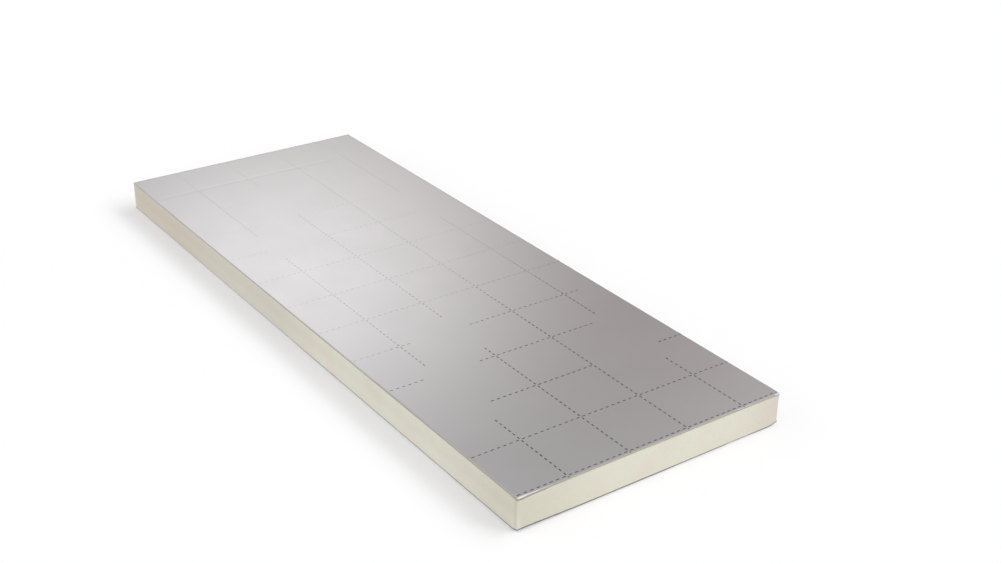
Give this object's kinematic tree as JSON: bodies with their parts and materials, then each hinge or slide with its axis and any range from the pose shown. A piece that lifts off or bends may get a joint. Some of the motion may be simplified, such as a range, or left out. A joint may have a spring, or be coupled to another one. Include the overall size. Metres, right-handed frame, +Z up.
{
  "type": "foil-faced rigid foam insulation board",
  "caption": "Flat rectangular board of pale rigid foam with a satin foil facing bonded to its top and underside, square-cut sides and foil rims pressed over the sawn edges.",
  "frame": {"origin": "middle of the board's underside", "axes": "+X across the width, +Y along the length, +Z up through the thickness"},
  "size_m": [0.45, 1.2, 0.05],
  "materials": {
    "rigid_foam": "sawn closed-cell foam, fine matt cells",
    "satin_foil": "satin laminated foil"
  },
  "bodies": {
    "root": {"foam_core": "rigid_foam", "top_facing": "satin_foil", "bottom_facing": "satin_foil"}
  },
  "joints": []
}
